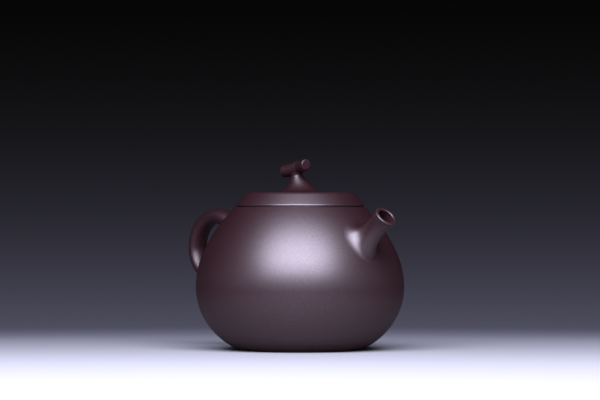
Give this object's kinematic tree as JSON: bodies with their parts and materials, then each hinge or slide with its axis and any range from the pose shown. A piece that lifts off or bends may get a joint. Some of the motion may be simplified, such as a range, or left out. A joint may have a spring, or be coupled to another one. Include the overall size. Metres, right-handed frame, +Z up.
{
  "type": "teapot",
  "caption": "Round clay teapot with a lift-off flat lid, a twig knob, a short spout with a perforated strainer, and an ear-shaped handle.",
  "frame": {"origin": "centre of the foot's resting ring, on the surface that the pot stands on", "axes": "+Z up along the pot's axis, +X towards the spout, -X towards the handle"},
  "size_m": [0.1387, 0.1, 0.0916],
  "materials": {
    "clay": "burnished dark purple-brown clay, satin, with a fine grain and small pits",
    "raw_clay": "the same clay left matt, as it comes from the kiln"
  },
  "bodies": {
    "pot": {"body_wall": "clay", "base_disc": "raw_clay", "mouth_ring": "clay", "spout": "clay", "spout_strainer": "raw_clay", "handle": "clay"},
    "lid": {"lid_cover": "clay", "lid_seat": "clay", "lid_flange": "raw_clay", "knob_stem": "clay", "knob_bough": "clay", "knob_spur": "clay"}
  },
  "joints": [
    {"name": "lid_lift", "type": "slide", "parent": "pot", "child": "lid", "axis": [0, 0, 1], "range_m": [0, 0.06]}
  ]
}
